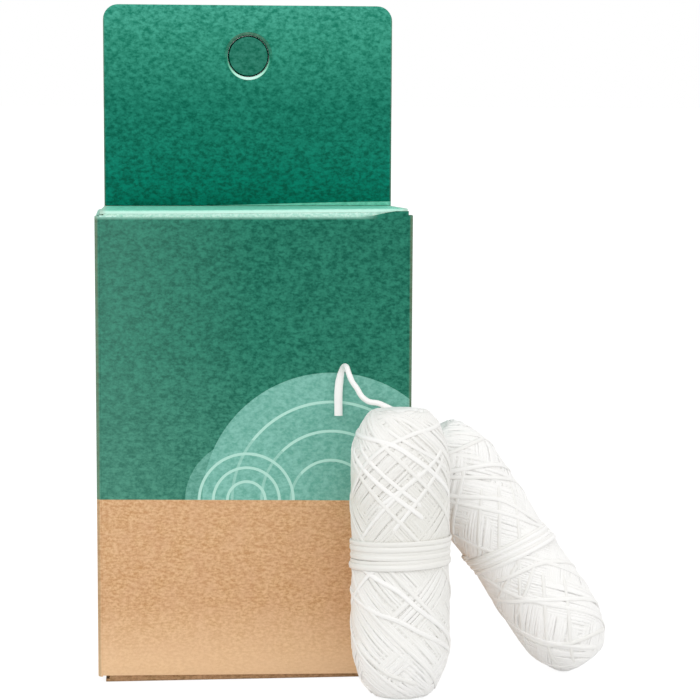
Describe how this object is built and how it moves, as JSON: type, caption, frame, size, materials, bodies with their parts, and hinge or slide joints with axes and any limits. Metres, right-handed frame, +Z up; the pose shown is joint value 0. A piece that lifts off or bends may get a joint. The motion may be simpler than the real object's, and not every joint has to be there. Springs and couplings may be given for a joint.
{
  "type": "boxed dental floss set",
  "caption": "Folding carton with a hang tab and opening lids, and wound bundles of silk dental floss leaning against it.",
  "frame": {"origin": "centre of the carton's base, on the surface that it stands on", "axes": "+X to the right as one faces the carton, +Y from the front panel to the back panel and the hang tab, +Z up"},
  "size_m": [0.0889, 0.0433, 0.1166],
  "materials": {
    "printed_board": "matt, printed green over kraft fibre",
    "kraft_board": "matt, bare kraft",
    "silk_strand": "soft waxed sheen",
    "silk_core": "soft waxed sheen"
  },
  "bodies": {
    "carton": {"front_panel": "printed_board", "back_panel": "printed_board", "left_side_panel": "printed_board", "right_side_panel": "printed_board", "glue_flap": "kraft_board"},
    "hang_tab": {"hang_tab_front": "printed_board", "hang_tab_rear": "printed_board"},
    "knock_out_disc": {"hang_hole_disc": "printed_board"},
    "top_lid": {"top_lid": "printed_board"},
    "top_tuck_flap": {"top_tuck_flap": "printed_board"},
    "top_dust_flap_left": {"top_dust_flap_left": "kraft_board"},
    "top_dust_flap_right": {"top_dust_flap_right": "kraft_board"},
    "bottom_lid": {"bottom_lid": "kraft_board"},
    "bottom_tuck_flap": {"bottom_tuck_flap": "kraft_board"},
    "bottom_dust_flap_left": {"bottom_dust_flap_left": "kraft_board"},
    "bottom_dust_flap_right": {"bottom_dust_flap_right": "kraft_board"},
    "front_bundle": {"front_bundle_core": "silk_core", "front_bundle_winding": "silk_strand", "front_bundle_wrap": "silk_strand", "loose_end": "silk_strand"},
    "side_bundle": {"side_bundle_core": "silk_core", "side_bundle_winding": "silk_strand", "side_bundle_wrap": "silk_strand"}
  },
  "joints": [
    {"name": "top_lid_hinge", "type": "hinge", "parent": "carton", "child": "top_lid", "pos_m": [0, 0.0111, 0.081], "axis": [-1, 0, 0], "range_deg": [0, 88]},
    {"name": "top_tuck_crease", "type": "hinge", "parent": "top_lid", "child": "top_tuck_flap", "pos_m": [0, -0.01085, 0.0804], "axis": [1, 0, 0], "range_deg": [0, 84]},
    {"name": "top_dust_left_crease", "type": "hinge", "parent": "carton", "child": "top_dust_flap_left", "pos_m": [-0.027, 0, 0.07985], "axis": [0, -1, 0], "range_deg": [0, 18]},
    {"name": "top_dust_right_crease", "type": "hinge", "parent": "carton", "child": "top_dust_flap_right", "pos_m": [0.027, 0, 0.07985], "axis": [0, 1, 0], "range_deg": [0, 18]},
    {"name": "bottom_lid_hinge", "type": "hinge", "parent": "carton", "child": "bottom_lid", "pos_m": [0, 0.012, 0.0006], "axis": [1, 0, 0], "range_deg": [0, 90]},
    {"name": "bottom_tuck_crease", "type": "hinge", "parent": "bottom_lid", "child": "bottom_tuck_flap", "pos_m": [0, -0.01085, 0.0006], "axis": [-1, 0, 0], "range_deg": [0, 86]},
    {"name": "bottom_dust_left_crease", "type": "hinge", "parent": "carton", "child": "bottom_dust_flap_left", "pos_m": [-0.027, 0, 0.00115], "axis": [0, 1, 0], "range_deg": [0, 18.5]},
    {"name": "bottom_dust_right_crease", "type": "hinge", "parent": "carton", "child": "bottom_dust_flap_right", "pos_m": [0.027, 0, 0.00115], "axis": [0, -1, 0], "range_deg": [0, 18.5]},
    {"name": "hang_tab_crease", "type": "hinge", "parent": "carton", "child": "hang_tab", "pos_m": [0, 0.012, 0.08105], "axis": [-1, 0, 0], "range_deg": [0, 90]},
    {"name": "knock_out_push", "type": "slide", "parent": "hang_tab", "child": "knock_out_disc", "axis": [0, 1, 0], "range_m": [0, 0.006]},
    {"name": "front_bundle_lift", "type": "slide", "parent": "carton", "child": "front_bundle", "axis": [0, 0, 1], "range_m": [0, 0.06]},
    {"name": "side_bundle_lift", "type": "slide", "parent": "carton", "child": "side_bundle", "axis": [0, 0, 1], "range_m": [0, 0.06]}
  ],
  "couplings": [
    {"joint": "top_tuck_crease", "follows": "top_lid_hinge", "ratio": 0.95},
    {"joint": "top_dust_left_crease", "follows": "top_lid_hinge", "ratio": 0.2},
    {"joint": "top_dust_right_crease", "follows": "top_lid_hinge", "ratio": 0.2},
    {"joint": "bottom_tuck_crease", "follows": "bottom_lid_hinge", "ratio": 0.95},
    {"joint": "bottom_dust_left_crease", "follows": "bottom_lid_hinge", "ratio": 0.2},
    {"joint": "bottom_dust_right_crease", "follows": "bottom_lid_hinge", "ratio": 0.2}
  ]
}
